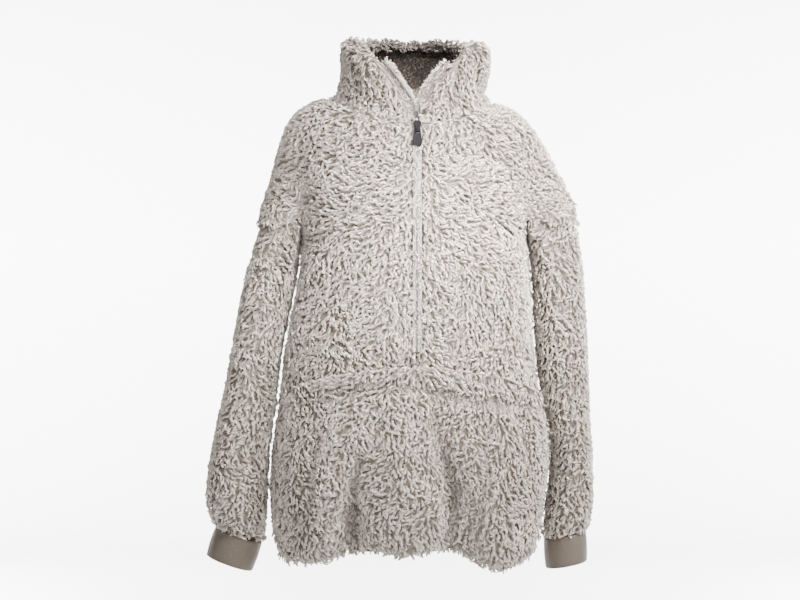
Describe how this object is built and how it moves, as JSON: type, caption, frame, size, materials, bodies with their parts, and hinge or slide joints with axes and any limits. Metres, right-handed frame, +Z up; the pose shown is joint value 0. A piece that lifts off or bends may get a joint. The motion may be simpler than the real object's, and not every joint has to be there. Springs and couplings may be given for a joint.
{
  "type": "hoodie",
  "caption": "Half-zip pullover hoodie in curly sherpa pile, worn hollow form, with thrown-back hood, pouch pocket, knit cuffs and a hinged zip pull tab.",
  "frame": {"origin": "middle of the neck opening, at the height where the garment rests on the wearer's shoulders beside the neck", "axes": "+Z up, -Y out of the garment's front, +X towards the wearer's left"},
  "size_m": [0.6032, 0.377, 0.8387],
  "materials": {
    "sherpa_pile": "curly polyester sherpa pile, oatmeal grey, soft sheen",
    "fleece_lining": "short brushed fleece, taupe grey",
    "cuff_knit": "smooth fine knit, taupe",
    "zip_tape": "woven polyester tape, pale",
    "zip_metal": "polished gunmetal plate on zinc alloy"
  },
  "bodies": {
    "garment": {"front": "sherpa_pile", "back": "sherpa_pile", "sleeve_left": "sherpa_pile", "sleeve_right": "sherpa_pile", "pocket": "sherpa_pile", "hood_left": "sherpa_pile", "hood_right": "sherpa_pile", "hood_lining": "fleece_lining", "cuff_left": "cuff_knit", "cuff_right": "cuff_knit", "zip_tape_left": "zip_tape", "zip_tape_right": "zip_tape", "slider": "zip_metal"},
    "pull": {"pull_tab": "zip_metal"}
  },
  "joints": [
    {"name": "pull_tab_hinge", "type": "hinge", "parent": "garment", "child": "pull", "pos_m": [0, -0.13041, -0.04799], "axis": [-1, 0, 0], "range_deg": [0, 120]}
  ]
}
